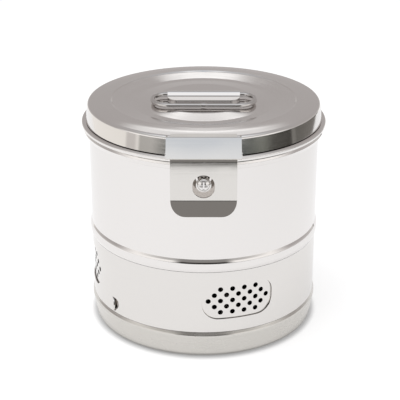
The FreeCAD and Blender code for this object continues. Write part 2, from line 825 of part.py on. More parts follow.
def hinge_roll():
    """Outer radius of the rear hinge's knuckles."""
    return hinge_pin_diameter / 2.0 + pin_running_gap + hinge_sheet


def knuckle(x_from, x_to):
    """Rolled barrel of the rear hinge, still unbored."""
    return bar_x(hinge_roll(), x_from, x_to, hinge_y, hinge_z)


def hinge_bore():
    """Bore through all the knuckles of the rear hinge."""
    return bar_x(hinge_pin_diameter / 2.0 + pin_running_gap, -hinge_width, hinge_width, hinge_y, hinge_z)


def curved_pad(inner_low, inner_high, low, high):
    """Strip of sheet bent round the back of the drum, as wide as the hinge, between two heights."""
    face = closed_face([(inner_low, low), (inner_low + hinge_sheet, low),
                        (inner_high + hinge_sheet, high), (inner_high, high)],
                       lambda radius, height: V(radius, 0, height))
    ring = face.revolve(V(0, 0, 0), V(0, 0, 1), 180)
    return ring.common(box(-hinge_width / 2.0, hinge_width / 2.0, 0.0, hinge_y, low, high))


def hinge_body_leaf():
    """Leaf riveted to the drum wall, cranked round the shoulder to two knuckles."""
    half = hinge_width / 2.0
    roll = hinge_roll()
    wall = body_radius + seat_gap
    pad = curved_pad(wall, wall, hinge_pad_bottom, hinge_pad_top)
    crank_y = hinge_y - roll
    slope = (hinge_knee_z - hinge_pad_top) / (crank_y - wall)
    path = [(crank_y, hinge_z),
            (crank_y, hinge_knee_z, hinge_bend),
            (wall - hinge_root, hinge_pad_top - hinge_root * slope)]
    crank = folded(offset_path(path, -hinge_sheet), hinge_sheet, hinge_width)
    crank = crank.cut(Part.makeCylinder(wall, lid_height))
    leaf = pad.fuse([crank, knuckle(-half, half)])
    lid_half = hinge_lid_knuckle / 2.0 + hinge_side_gap
    notch = box(-lid_half, lid_half, crank_y - hinge_sheet, hinge_y + 2.0 * roll,
                hinge_z - roll - hinge_side_gap, hinge_z + 2.0 * roll)
    cutters = [notch, hinge_bore()]
    for height in body_rivet_rows:
        for side in (-1, 1):
            cutters.append(rivet_bore(body_radius, side, height, 0.0))
    return leaf.cut(cutters).removeSplitter()


def hinge_lid_leaf():
    """Angle leaf riveted to the lid skirt: an upright pad and an arm out to the middle knuckle."""
    half = hinge_width / 2.0
    roll = hinge_roll()
    arm_top = hinge_z + roll
    arm_bottom = arm_top - hinge_sheet
    pad = curved_pad(skirt_radius(arm_bottom) + seat_gap, skirt_radius(lid_pad_top) + seat_gap,
                     arm_bottom, lid_pad_top)
    root_y = body_radius - hinge_root
    wide = box(-half, half, root_y, hinge_y - roll - 2.0 * hinge_side_gap, arm_bottom, arm_top)
    lid_half = hinge_lid_knuckle / 2.0
    narrow = box(-lid_half, lid_half, root_y, hinge_y, arm_bottom, arm_top)
    leaf = pad.fuse([wide, narrow, knuckle(-lid_half, lid_half)])
    return leaf.cut([lid_envelope(), hinge_bore()] + lid_rivet_bores()).removeSplitter()


def hinge_pin():
    """Pin of the rear hinge, fixed in the body leaf's knuckles."""
    return headed_pin(hinge_pin_diameter, hinge_width / 2.0 + seat_gap, hinge_y, hinge_z)


def hinge_rivets(wall_radius, sheet, heights, lean):
    """Hinge rivets through a leaf and the wall behind it, leaning as the wall does."""
    inner_radius = wall_radius - sheet
    head_y = -(wall_radius + hinge_sheet + 2.0 * seat_gap)
    tail_y = -math.sqrt(inner_radius ** 2 - (rivet_tail_diameter / 2.0) ** 2) + seat_gap
    rivets = []
    for height in heights:
        for side in (-1, 1):
            piece = rivet(head_y, tail_y, True, height)
            piece.rotate(V(0, -wall_radius, height), V(1, 0, 0), -lean)
            rivets.append(turned(piece, 180.0 + side * rivet_side_angle(body_radius)))
    return Part.makeCompound(rivets)


def body_leaf_rivets():
    """Four rivets of the body leaf."""
    return hinge_rivets(body_radius, shell_sheet, body_rivet_rows, 0.0)


def lid_leaf_rivets():
    """Two rivets of the lid leaf, square to the flared skirt."""
    height = lid_rivet_height()
    return hinge_rivets(skirt_radius(height), lid_sheet, (height,), skirt_lean())


pieces = {
    "base_pan": base_pan,
    "vent_sleeve": vent_sleeve,
    "upper_shell": upper_shell,
    "shutter_band": shutter_band,
    "band_rivets": band_rivets,
    "lid_pan": lid_pan,
    "handle_bail": handle_bail,
    "handle_clip": handle_clip,
    "latch_bracket": latch_bracket,
    "latch_pin": latch_pin,
    "latch_hasp": latch_hasp,
    "latch_stud": latch_stud,
    "stud_spacer": stud_spacer,
    "stud_washer": stud_washer,
    "stud_nut": stud_nut,
    "hinge_body_leaf": hinge_body_leaf,
    "hinge_lid_leaf": hinge_lid_leaf,
    "hinge_pin": hinge_pin,
    "body_leaf_rivets": body_leaf_rivets,
    "lid_leaf_rivets": lid_leaf_rivets,
}

os.makedirs("parts", exist_ok=True)
for name, make in pieces.items():
    shape = make()
    shape.exportStep("parts/" + name + ".step")
    box_of = shape.optimalBoundingBox()
    print("%-17s solids %d  valid %s  volume %9.2f  x %.2f..%.2f  y %.2f..%.2f  z %.2f..%.2f" % (
        name, len(shape.Solids), shape.isValid(), shape.Volume, box_of.XMin, box_of.XMax,
        box_of.YMin, box_of.YMax, box_of.ZMin, box_of.ZMax))
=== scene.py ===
import bpy
import bmesh
import math
import numpy as np
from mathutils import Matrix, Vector


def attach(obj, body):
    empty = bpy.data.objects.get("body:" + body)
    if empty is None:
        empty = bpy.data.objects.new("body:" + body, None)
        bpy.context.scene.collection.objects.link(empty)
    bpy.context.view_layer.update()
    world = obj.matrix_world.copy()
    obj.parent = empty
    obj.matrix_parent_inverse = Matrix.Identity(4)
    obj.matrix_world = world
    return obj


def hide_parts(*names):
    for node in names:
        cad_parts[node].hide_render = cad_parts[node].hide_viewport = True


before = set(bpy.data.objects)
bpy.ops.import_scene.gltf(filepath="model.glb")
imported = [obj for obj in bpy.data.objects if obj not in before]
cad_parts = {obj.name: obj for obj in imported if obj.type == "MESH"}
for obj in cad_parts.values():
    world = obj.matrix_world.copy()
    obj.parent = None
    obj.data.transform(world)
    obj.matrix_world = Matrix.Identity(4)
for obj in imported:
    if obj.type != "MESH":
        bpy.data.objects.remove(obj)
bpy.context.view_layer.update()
MM = 0.001

# Camera: at eye height over a table, a little above the drum and square to its latch.
# The lens is long, so the drum's sides stay almost upright. The small yaw is the photograph's framing.
# Lengths are in millimetres, except in the lamp's and the table's sections.
camera_distance = 730.0
camera_height = 385.5
camera_down_deg = 22.86
camera_yaw_deg = 0.19
camera_lens = 105.95
camera_sensor = 36.0
camera_near = 10.0
camera_far = 20000.0
camera = bpy.data.objects.new("camera", bpy.data.cameras.new("camera"))
bpy.context.scene.collection.objects.link(camera)
camera.location = (0.0, -camera_distance * MM, camera_height * MM)
camera.rotation_euler = (math.radians(90.0 - camera_down_deg), 0.0, math.radians(camera_yaw_deg))
camera.data.lens = camera_lens
camera.data.sensor_width = camera_sensor
camera.data.clip_start = camera_near * MM
camera.data.clip_end = camera_far * MM
bpy.context.scene.camera = camera
bpy.context.scene.view_settings.view_transform = "Standard"

# Studio room, as polished steel shows it: a white sweep with one bright strip behind the drum, dark by
# the camera, pale at both flanks, and soft light from above. Under the horizon it holds what the lid's
# skirt shows. It follows the direction alone, in degrees, and the camera sees plain white.
room_plain_level = 0.55
room_mirror_level = 1.25
all_heights = (-30.0, 90.0)
all_round = (-180.0, 180.0)
flank_edge = (20.0, 32.0)
sweep_edge = (169.0, 178.0)
side_edge = (66.0, 96.0)
below_edge = (-6.4, -5.2)


def linear(hex_colour):
    """Return the linear colour, with alpha, of an sRGB hex value."""
    channels = [int(hex_colour[place:place + 2], 16) / 255.0 for place in (1, 3, 5)]
    return tuple(c / 12.92 if c <= 0.04045 else ((c + 0.055) / 1.055) ** 2.4 for c in channels) + (1.0,)


def add(tree, kind, inputs=None, **settings):
    """Add a node to a tree, with its settings, and its inputs as values or as sockets to link."""
    item = tree.nodes.new(kind)
    for setting, value in settings.items():
        setattr(item, setting, value)
    for key, value in (inputs or {}).items():
        if isinstance(value, bpy.types.NodeSocket):
            tree.links.new(value, item.inputs[key])
        else:
            item.inputs[key].default_value = value
    return item


def wall(tree, angle, whole, stops):
    """Return a wall's colour along an angle, from stops of degrees and hex colour within the whole range."""
    lowest, highest = whole
    share = add(tree, "ShaderNodeMapRange", {"Value": angle, "From Min": math.radians(lowest),
                                             "From Max": math.radians(highest)})
    painted = add(tree, "ShaderNodeValToRGB", {"Fac": share.outputs[0]})
    elements = painted.color_ramp.elements
    while len(elements) < len(stops):
        elements.new(0.5)
    for element, (degrees, colour) in zip(elements, stops):
        element.position = (degrees - lowest) / (highest - lowest)
        element.color = linear(colour)
    return painted.outputs["Color"]


def passing(tree, first, second, angle, edge, shape="SMOOTHSTEP"):
    """Return the colour where one wall passes into a second one, over an edge from angle to angle."""
    share = add(tree, "ShaderNodeMapRange", {"Value": angle, "From Min": math.radians(edge[0]),
                                             "From Max": math.radians(edge[1])}, interpolation_type=shape)
    mixed = add(tree, "ShaderNodeMix", {0: share.outputs[0], 6: first, 7: second}, data_type="RGBA")
    return mixed.outputs[2]


room = bpy.data.worlds.new("studio room")
bpy.context.scene.world = room
room.use_nodes = True
room_tree = room.node_tree
room_tree.nodes.clear()
looking = add(room_tree, "ShaderNodeTexCoord").outputs["Generated"]
direction = add(room_tree, "ShaderNodeSeparateXYZ", {"Vector": looking}).outputs
elevation = add(room_tree, "ShaderNodeMath", {0: direction["Z"]}, operation="ARCSINE").outputs[0]
toward_camera = add(room_tree, "ShaderNodeMath", {0: direction["Y"], 1: -1.0}, operation="MULTIPLY")
azimuth = add(room_tree, "ShaderNodeMath", {0: direction["X"], 1: toward_camera.outputs[0]},
              operation="ARCTAN2").outputs[0]
turned_away = add(room_tree, "ShaderNodeMath", {0: azimuth}, operation="ABSOLUTE").outputs[0]
camera_wall = wall(room_tree, elevation, all_heights, (
    (-6, "#3A3937"), (-4, "#201E1D"), (4, "#1E1D1C"), (11, "#585654"), (17, "#7F7C7A"), (24, "#82807E"),
    (42, "#8C8B8B"), (58, "#EEEFF1"), (76, "#F2F3F5"), (77.7, "#E6E9ED"), (78.1, "#CDD3DC"),
    (90, "#C9CED6")))
flank_wall = wall(room_tree, elevation, all_heights, (
    (-6, "#F0EEEC"), (19, "#F0EEEC"), (25, "#B2B0AE"), (42, "#AAAAAA"), (58, "#EEEFF1"), (76, "#F2F3F5"),
    (90, "#C6CAD0")))
back_sweep = wall(room_tree, elevation, all_heights, (
    (-14, "#FFFFFF"), (-2, "#FFFFFF"), (2, "#B0ACAB"), (8, "#A8A4A3"), (13, "#A4A09F"), (26.4, "#A29E9D"),
    (27.3, "#FFFFFF"), (28.9, "#FFFFFF"), (29.7, "#DCDBDB"), (30.9, "#DCDBDB"), (32.0, "#A29E9D"),
    (48, "#7E7B7A"), (64, "#A8A7A6"), (90, "#C6CAD0")))
back_flank = wall(room_tree, elevation, all_heights, (
    (-14, "#E6E4E2"), (-2, "#BAB7B5"), (6, "#AAA6A5"), (13, "#A4A09F"), (32, "#A29E9D"), (50, "#A6A4A4"),
    (90, "#C6CAD0")))
below_room = wall(room_tree, azimuth, all_round, (
    (-180, "#FFFFFF"), (-135, "#E4E1DD"), (-78, "#DFDCD7"), (-77, "#BEBAB7"), (-67, "#BEBAB7"),
    (-65.5, "#DAD7D3"), (-63.5, "#D4D1CD"), (-62, "#A5A39F"), (-49, "#A5A39F"), (-34, "#585A56"),
    (0, "#6E6D6B"), (24, "#3C3F3D"), (38, "#424644"), (56, "#64665F"), (68, "#464541"), (90, "#3F3D3A"),
    (92.5, "#72706C"), (96.5, "#706E6A"), (98, "#5E5C58"), (142, "#726E6A"), (145, "#FAF8F6"),
    (180, "#FFFFFF")))
in_front = passing(room_tree, camera_wall, flank_wall, turned_away, flank_edge)
behind = passing(room_tree, back_flank, back_sweep, turned_away, sweep_edge)
around = passing(room_tree, in_front, behind, turned_away, side_edge)
mirrored = passing(room_tree, below_room, around, elevation, below_edge, "LINEAR")
room_rays = add(room_tree, "ShaderNodeLightPath").outputs
seen_in_metal = add(room_tree, "ShaderNodeBackground", {"Color": mirrored, "Strength": room_mirror_level})
plain_light = add(room_tree, "ShaderNodeBackground", {"Color": linear("#F4F6FA"),
                                                      "Strength": room_plain_level})
seen_white = add(room_tree, "ShaderNodeBackground", {"Color": linear("#FFFFFF"), "Strength": 1.0})
by_metal = add(room_tree, "ShaderNodeMixShader", {0: room_rays["Is Glossy Ray"], 1: plain_light.outputs[0],
                                                  2: seen_in_metal.outputs[0]})
by_camera = add(room_tree, "ShaderNodeMixShader", {0: room_rays["Is Camera Ray"], 1: by_metal.outputs[0],
                                                   2: seen_white.outputs[0]})
add(room_tree, "ShaderNodeOutputWorld", {"Surface": by_camera.outputs[0]})

# Lamp: one large soft box over the table, a little to the left and in front, in metres.
# Steel doesn't mirror it: what the room shows from above stands for it there.
lamp_place = Vector((-0.25, -0.2, 1.3))
lamp_width = 1.1
lamp_power = 7.5
soft_box = bpy.data.objects.new("soft box", bpy.data.lights.new("soft box", "AREA"))
bpy.context.scene.collection.objects.link(soft_box)
soft_box.location = lamp_place
soft_box.rotation_euler = (-lamp_place).to_track_quat("-Z", "Y").to_euler()
soft_box.data.shape = "DISK"
soft_box.data.size = lamp_width
soft_box.data.energy = lamp_power
soft_box.visible_glossy = False

# Table: a wide white board that the drum stands on, and no part of the drum. In the steel it ends in
# front of the drum and in a circle round it, where the room starts. Its glow is cut down in a thin ring
# under the foot's edge, as painted shade where the light hardly gets there. Sizes are in metres here too.
table_size = 3.0
table_drop = 0.0002
table_seen_radius = 0.6
table_seen_front = 0.43
circle_fade = 0.01
front_fade = 0.004
# Painted shade: the thin ring under the foot's edge where the board's glow is dimmed, and the share it
# keeps.
painted_shade_ring = (0.0735, 0.0785)
painted_shade_share = 0.35
glow_in_steel = 0.54
glow_to_camera = 0.64
half_table = table_size / 2.0
table_mesh = bpy.data.meshes.new("table")
table_mesh.from_pydata([(-half_table, -half_table, 0), (half_table, -half_table, 0),
                        (half_table, half_table, 0), (-half_table, half_table, 0)], [], [(0, 1, 2, 3)])
table = bpy.data.objects.new("table", table_mesh)
bpy.context.scene.collection.objects.link(table)
table.location = (0.0, 0.0, -table_drop)
# Painted matt: the eye gets a plain ground that runs out into white, with no glint and no hard shadow.
board = bpy.data.materials.new("white matt table board")
board.use_nodes = True
board_tree = board.node_tree
board_tree.nodes.clear()
board_place = add(board_tree, "ShaderNodeTexCoord").outputs["Object"]
board_reach = add(board_tree, "ShaderNodeVectorMath", {0: board_place}, operation="LENGTH").outputs["Value"]
past_circle = add(board_tree, "ShaderNodeMapRange", {"Value": board_reach, "From Min": table_seen_radius,
                                                     "From Max": table_seen_radius + circle_fade})
# Painted shade: the board's glow falls to that share in a thin ring under the foot's edge.
painted_foot_shade = add(board_tree, "ShaderNodeMapRange", {"Value": board_reach, "From Min": painted_shade_ring[0],
                                                     "From Max": painted_shade_ring[1], "To Min": painted_shade_share},
                  interpolation_type="SMOOTHSTEP")
board_y = add(board_tree, "ShaderNodeSeparateXYZ", {"Vector": board_place}).outputs["Y"]
past_front = add(board_tree, "ShaderNodeMapRange", {"Value": board_y, "From Min": -table_seen_front,
                                                    "From Max": -table_seen_front - front_fade})
past_edge = add(board_tree, "ShaderNodeMath", {0: past_circle.outputs[0], 1: past_front.outputs[0]},
                operation="MAXIMUM")
board_rays = add(board_tree, "ShaderNodeLightPath").outputs
board_ends = add(board_tree, "ShaderNodeMath", {0: board_rays["Is Glossy Ray"], 1: past_edge.outputs[0]},
                 operation="MULTIPLY")
board_glow = add(board_tree, "ShaderNodeMapRange", {"Value": board_rays["Is Camera Ray"],
                                                    "To Min": glow_in_steel, "To Max": glow_to_camera})
board_strength = add(board_tree, "ShaderNodeMath", {0: board_glow.outputs[0], 1: painted_foot_shade.outputs[0]},
                     operation="MULTIPLY")
board_matt = add(board_tree, "ShaderNodeBsdfDiffuse", {"Color": linear("#C9C9C9")})
board_lift = add(board_tree, "ShaderNodeEmission", {"Color": linear("#FFFEFD"),
                                                    "Strength": board_strength.outputs[0]})
board_lit = add(board_tree, "ShaderNodeAddShader", {0: board_matt.outputs[0], 1: board_lift.outputs[0]})
board_open = add(board_tree, "ShaderNodeBsdfTransparent")
board_face = add(board_tree, "ShaderNodeMixShader", {0: board_ends.outputs[0], 1: board_lit.outputs[0],
                                                     2: board_open.outputs[0]})
add(board_tree, "ShaderNodeOutputMaterial", {"Surface": board_face.outputs[0]})
table_mesh.materials.append(board)

# Base pan: stainless sheet drawn into a shallow pan, its lip rolled out to a half-round bead. Its
# satin finish is scuffed from standing on trays. It holds the vent sleeve and keeps the band on.
pan_profile = [(74.8, 18.0), (75.9, 16.0, 2.7), (75.9, 14.6, 2.7), (75.4, 12.6), (73.7, 0.0, 3.2),
               (0.0, 0.0)]
pan_sheet = 0.6
spun_facets = 288
rounding_step_deg = 7.5
least_rounding = 0.01
least_length = 0.001
haze_cloud = 22.22
sheet_wave = 45.45
line_run = 33.33
wear_range = (0.15, 0.4)


def unit(start, end):
    """Return the unit vector between two section points."""
    length = math.hypot(end[0] - start[0], end[1] - start[1])
    return ((end[0] - start[0]) / length, (end[1] - start[1]) / length)


def offset_path(points, distance):
    """Return a section path moved to the right of its travel, with its roundings kept concentric."""
    moved = []
    last = len(points) - 1
    for index, point in enumerate(points):
        before = unit(points[index - 1], point) if index > 0 else unit(point, points[1])
        after = unit(point, points[index + 1]) if index < last else before
        facing = 1.0 + before[0] * after[0] + before[1] * after[1]
        left_turn = before[0] * after[1] - before[1] * after[0] > 0
        radius = point[2] if len(point) > 2 else 0.0
        if radius > 0:
            radius = max(radius + (distance if left_turn else -distance), 0.0)
        moved.append((point[0] + distance * (before[1] + after[1]) / facing,
                      point[1] - distance * (before[0] + after[0]) / facing, radius))
    return moved


def path_steps(points, arc_step_deg=rounding_step_deg):
    """Return the short steps of a path with its corners rounded: both ends, and the normals there."""
    steps = []
    current = points[0][:2]
    for index in range(1, len(points)):
        point = points[index]
        arrive = unit(points[index - 1], point)
        across = (-arrive[1], arrive[0])
        radius = point[2] if len(point) > 2 else 0.0
        if index == len(points) - 1 or radius < least_rounding:
            steps.append((current, point[:2], across, across))
            current = point[:2]
            continue
        leave = unit(point, points[index + 1])
        turn = math.atan2(arrive[0] * leave[1] - arrive[1] * leave[0],
                          arrive[0] * leave[0] + arrive[1] * leave[1])
        setback = radius * math.tan(abs(turn) / 2.0)
        begin = (point[0] - arrive[0] * setback, point[1] - arrive[1] * setback)
        if math.dist(current, begin) > least_length:
            steps.append((current, begin, across, across))
        side = math.copysign(1.0, turn)
        centre = (begin[0] + across[0] * radius * side, begin[1] + across[1] * radius * side)
        start = math.atan2(arrive[0], -arrive[1])
        count = max(2, int(abs(math.degrees(turn)) / arc_step_deg) + 1)
        current = begin
        for number in range(1, count + 1):
            old = start + turn * (number - 1) / count
            new = start + turn * number / count
            place = (centre[0] - side * radius * math.cos(new), centre[1] - side * radius * math.sin(new))
            steps.append((current, place, (math.cos(old), math.sin(old)), (math.cos(new), math.sin(new))))
            current = place
    return steps


def sheet_steps(points, thickness):
    """Return the closed section of a bent sheet: the seen side, the two cut ends and the hidden side."""
    seen = path_steps(points)
    hidden = path_steps(offset_path(points, thickness))
    back = [(end, start, (-last[0], -last[1]), (-first[0], -first[1]))
            for start, end, first, last in hidden[::-1]]
    steps = seen + [None] + back + [None]
    for index, step in enumerate(steps):
        if step is None:
            start = steps[index - 1][1]
            end = steps[(index + 1) % len(steps)][0]
            along = unit(start, end)
            steps[index] = (start, end, (-along[1], along[0]), (-along[1], along[0]))
    return steps


def spun_mesh(name, steps, material):
    """Return a shell spun about the drum axis from section steps, with the section's own normals."""
    vertices = []
    rings = []
    for start, *_ in steps:
        on_axis = start[0] < least_length
        rings.append((len(vertices), on_axis))
        for turn in range(1 if on_axis else spun_facets):
            angle = 2.0 * math.pi * turn / spun_facets
            vertices.append((start[0] * math.sin(angle) * MM, -start[0] * math.cos(angle) * MM,
                             start[1] * MM))
    faces = []
    normals = []
    for number, (*_, first, last) in enumerate(steps):
        low, low_pole = rings[number]
        high, high_pole = rings[(number + 1) % len(steps)]
        if low_pole and high_pole:
            continue
        for turn in range(spun_facets):
            after = (turn + 1) % spun_facets
            corners = [(high, high_pole, turn, last), (high, high_pole, after, last),
                       (low, low_pole, after, first), (low, low_pole, turn, first)]
            if high_pole:
                corners.pop(1)
            if low_pole:
                corners.pop(2 if high_pole else 3)
            faces.append([base if pole else base + spoke for base, pole, spoke, normal in corners])
            for base, pole, spoke, normal in corners:
                angle = 2.0 * math.pi * spoke / spun_facets
                normals.append((normal[0] * math.sin(angle), -normal[0] * math.cos(angle), normal[1]))
    mesh = bpy.data.meshes.new(name)
    mesh.from_pydata(vertices, [], faces)
    mesh.materials.append(material)
    mesh.shade_smooth()
    mesh.normals_split_custom_set(normals)
    return mesh


def place_piece(name, mesh, body, slot, *replaced):
    """Put a finished mesh into the scene as a piece that rides on a body and stands for CAD nodes."""
    piece = bpy.data.objects.new(name, mesh)
    bpy.context.scene.collection.objects.link(piece)
    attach(piece, body)
    if replaced:
        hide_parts(*replaced)
    return piece


def steel(name, colour, roughness, haze, wave_depth, line_width):
    """Return steel with its colour, polish, cloudy haze, wavy sheet and level polishing lines."""
    metal = bpy.data.materials.new(name)
    metal.use_nodes = True
    tree = metal.node_tree
    surface = tree.nodes["Principled BSDF"]
    surface.inputs["Base Color"].default_value = linear(colour)
    surface.inputs["Metallic"].default_value = 1.0
    place = add(tree, "ShaderNodeTexCoord").outputs["Object"]
    clouds = add(tree, "ShaderNodeTexNoise", {"Vector": place, "Scale": 1.0 / (haze_cloud * MM),
                                              "Detail": 4.0, "Roughness": 0.6})
    # Real polishing lines are some hundredths of a millimetre wide, too fine to show here, so they are
    # drawn a few tenths wide. They run level round the drum's walls.
    drawn_out = (1.0 / (line_run * MM), 1.0 / (line_run * MM), 1.0 / (line_width * MM))
    stretched = add(tree, "ShaderNodeMapping", {"Vector": place, "Scale": drawn_out})
    lines = add(tree, "ShaderNodeTexNoise", {"Vector": stretched.outputs[0], "Scale": 1.0, "Detail": 2.0})
    wear = add(tree, "ShaderNodeMath", {0: clouds.outputs["Fac"], 1: lines.outputs["Fac"]},
               operation="MULTIPLY")
    rough = add(tree, "ShaderNodeMapRange", {"Value": wear.outputs[0], "From Min": wear_range[0],
                                             "From Max": wear_range[1], "To Min": roughness,
                                             "To Max": roughness + haze})
    tree.links.new(rough.outputs[0], surface.inputs["Roughness"])
    waves = add(tree, "ShaderNodeTexNoise", {"Vector": place, "Scale": 1.0 / (sheet_wave * MM),
                                             "Detail": 1.0})
    wavy = add(tree, "ShaderNodeBump", {"Height": waves.outputs["Fac"], "Strength": 1.0,
                                        "Distance": wave_depth * MM})
    tree.links.new(wavy.outputs[0], surface.inputs["Normal"])
    return metal


# Satin from rolling and wear: the eye gets broad, soft glints in a cloudy grey, and no clear image.
satin_steel = steel("stainless sheet, satin with scuffs", "#D2CFCA", roughness=0.12, haze=0.22,
                    wave_depth=0.1, line_width=0.6)
place_piece("base_pan_spun", spun_mesh("base pan", sheet_steps(pan_profile, pan_sheet), satin_steel),
            "drum", "satin_steel", "base_pan")

# Vent sleeve: the recessed lower wall, rolled from polished stainless strip and punched with three
# groups of round vent holes in staggered rows. It shows through the band's windows.
sleeve_radius = 74.1
sleeve_sheet = 0.5
sleeve_profile = [(74.46, 72.3), (74.46, 62.5), (sleeve_radius, 61.1), (sleeve_radius, 7.81)]
# Polished strip: the eye gets the room's image, a shade greyer than in the shell, with faint level lines.
strip_steel = steel("stainless strip, polished", "#E1DEDB", roughness=0.03, haze=0.045,
                    wave_depth=0.05, line_width=0.4)
hole_rows = (4, 5, 6, 5, 4)
hole_row_step = 4.0
hole_pitch_deg = 6.0
hole_width = 3.3
hole_facets = 28
punch_length = 4.0
vent_height = 39.8
vent_azimuths = (-82.7, 17.3, 117.3)
# A corner takes the spun wall's normal where its face looks the wall's way and lies on the wall.
same_facing = 0.9
section_reach = 0.1
wrong_side = 100.0
least_square = 1e-9


def round_the_drum(radius, azimuth_deg, height):
    """Return the place at a radius, azimuth from the front and height, in millimetres."""
    angle = math.radians(azimuth_deg)
    return Vector((radius * math.sin(angle), -radius * math.cos(angle), height))


def facing_marks(name, spots):
    """Return an object of loose points, each with the direction that what is set there faces."""
    mesh = bpy.data.meshes.new(name)
    mesh.from_pydata([place * MM for place, facing in spots], [], [])
    facings = mesh.attributes.new("facing", "FLOAT_VECTOR", "POINT")
    for row, (place, facing) in zip(facings.data, spots):
        row.vector = facing
    marks = bpy.data.objects.new(name, mesh)
    bpy.context.scene.collection.objects.link(marks)
    return marks


def node_group(name, sockets):
    """Return an empty geometry tree with one geometry output and named inputs, and its group input."""
    tree = bpy.data.node_groups.new(name, "GeometryNodeTree")
    tree.interface.new_socket("Geometry", in_out="INPUT", socket_type="NodeSocketGeometry")
    for title, kind in sockets.items():
        tree.interface.new_socket(title, in_out="INPUT", socket_type="NodeSocket" + kind)
    tree.interface.new_socket("Geometry", in_out="OUTPUT", socket_type="NodeSocketGeometry")
    return tree, add(tree, "NodeGroupInput")


def set_on_marks(tree, marks, instance):
    """Return the real geometry of an instance set on every mark, turned to face as the mark says."""
    facing = add(tree, "GeometryNodeInputNamedAttribute", {"Name": "facing"}, data_type="FLOAT_VECTOR")
    turned = add(tree, "FunctionNodeAlignRotationToVector", {"Vector": facing.outputs["Attribute"]},
                 axis="Z")
    shown = add(tree, "GeometryNodeObjectInfo", {"Object": marks})
    copies = add(tree, "GeometryNodeInstanceOnPoints", {"Points": shown.outputs["Geometry"],
                                                        "Instance": instance, "Rotation": turned.outputs[0]})
    return add(tree, "GeometryNodeRealizeInstances", {"Geometry": copies.outputs[0]}).outputs[0]


def made_by_nodes(name, tree, base_mesh, **inputs):
    """Return the plain mesh that a node tree makes from a base mesh and named inputs."""
    carrier = bpy.data.objects.new(name, base_mesh)
    bpy.context.scene.collection.objects.link(carrier)
    modifier = carrier.modifiers.new(name, "NODES")
    modifier.node_group = tree
    for item in tree.interface.items_tree:
        key = item.name.lower().replace(" ", "_")
        if item.in_out == "INPUT" and key in inputs:
            modifier[item.identifier] = inputs[key]
    bpy.context.view_layer.update()
    finished = bpy.data.meshes.new_from_object(carrier.evaluated_get(bpy.context.evaluated_depsgraph_get()))
    carrier.modifiers.remove(modifier)
    bpy.data.objects.remove(carrier)
    return finished


def punch_tree():
    """Return the tree that punches round holes through a wall at marks."""
    tree, given = node_group("punch vent holes", {"Marks": "Object", "Hole width": "Float",
                                                  "Punch length": "Float", "Metal": "Material"})
    half = add(tree, "ShaderNodeMath", {0: given.outputs["Hole width"], 1: 0.5}, operation="MULTIPLY")
    punch = add(tree, "GeometryNodeMeshCylinder", {"Vertices": hole_facets, "Radius": half.outputs[0],
                                                   "Depth": given.outputs["Punch length"]})
    punches = set_on_marks(tree, given.outputs["Marks"], punch.outputs["Mesh"])
    cut = add(tree, "GeometryNodeMeshBoolean", {"Mesh 1": given.outputs["Geometry"], "Mesh 2": punches},
              operation="DIFFERENCE", solver="EXACT")
    coated = add(tree, "GeometryNodeSetMaterial", {"Geometry": cut.outputs["Mesh"],
                                                   "Material": given.outputs["Metal"]})
    add(tree, "NodeGroupOutput", {0: coated.outputs[0]})
    return tree


def wall_normals(mesh, steps):
    """Give a cut shell the true normals of the section it was spun from; cut edges keep their own."""
    starts, ends, firsts, lasts = (np.array(column) for column in zip(*steps))
    squares = np.maximum(((ends - starts) ** 2).sum(1), least_square)
    normals = []
    for polygon in mesh.polygons:
        polygon.use_smooth = True
        for index in polygon.vertices:
            spot = mesh.vertices[index].co / MM
            radius = math.hypot(spot.x, spot.y)
            out = (spot.x / radius, spot.y / radius) if radius > least_length else (0.0, 0.0)
            share = np.clip(((np.array([radius, spot.z]) - starts) * (ends - starts)).sum(1) / squares, 0, 1)
            nearest = starts + (ends - starts) * share[:, None]
            away = np.hypot(nearest[:, 0] - radius, nearest[:, 1] - spot.z)
            blend = firsts + (lasts - firsts) * share[:, None]
            facing = blend[:, 0] * (polygon.normal.x * out[0] + polygon.normal.y * out[1]) \
                + blend[:, 1] * polygon.normal.z
            away[facing < same_facing] += wrong_side
            best = int(away.argmin())
            if away[best] > section_reach:
                normals.append(tuple(polygon.normal))
                continue
            normals.append((blend[best, 0] * out[0], blend[best, 0] * out[1], blend[best, 1]))
    mesh.normals_split_custom_set(normals)


hole_spots = []
for azimuth_deg in vent_azimuths:
    for row, count in enumerate(hole_rows):
        for column in range(count):
            at_deg = azimuth_deg + (column - (count - 1) / 2.0) * hole_pitch_deg
            at_height = vent_height + (row - (len(hole_rows) - 1) / 2.0) * hole_row_step
            hole_spots.append((round_the_drum(sleeve_radius, at_deg, at_height),
                               round_the_drum(1.0, at_deg, 0.0)))
hole_marks = facing_marks("vent hole marks", hole_spots)
sleeve_steps = sheet_steps(sleeve_profile, sleeve_sheet)
sleeve_mesh = made_by_nodes("vent sleeve", punch_tree(), spun_mesh("vent sleeve", sleeve_steps, strip_steel),
                            marks=hole_marks, hole_width=hole_width * MM, punch_length=punch_length * MM,
                            metal=strip_steel)
bpy.data.objects.remove(hole_marks)
wall_normals(sleeve_mesh, sleeve_steps)
place_piece("vent_sleeve_punched", sleeve_mesh, "drum", "satin_steel", "vent_sleeve")

# Shutter band: a loose strip of polished sheet with three windows, lapped at the back, and a
# half-round catch lanced out of it for the thumb that turns it. It has the sleeve's polish.
band_radius = 75.0
band_sheet = 0.6
band_bottom = 18.3
band_top = 60.3
same_corner = 0.001
outward = (1.0, 0.0)
inward = (-1.0, 0.0)
band_walls = ((band_radius, outward), (band_radius - band_sheet, inward),
              (band_radius + band_sheet, outward))
band_steps = [((radius, band_bottom), (radius, band_top), facing, facing) for radius, facing in band_walls]


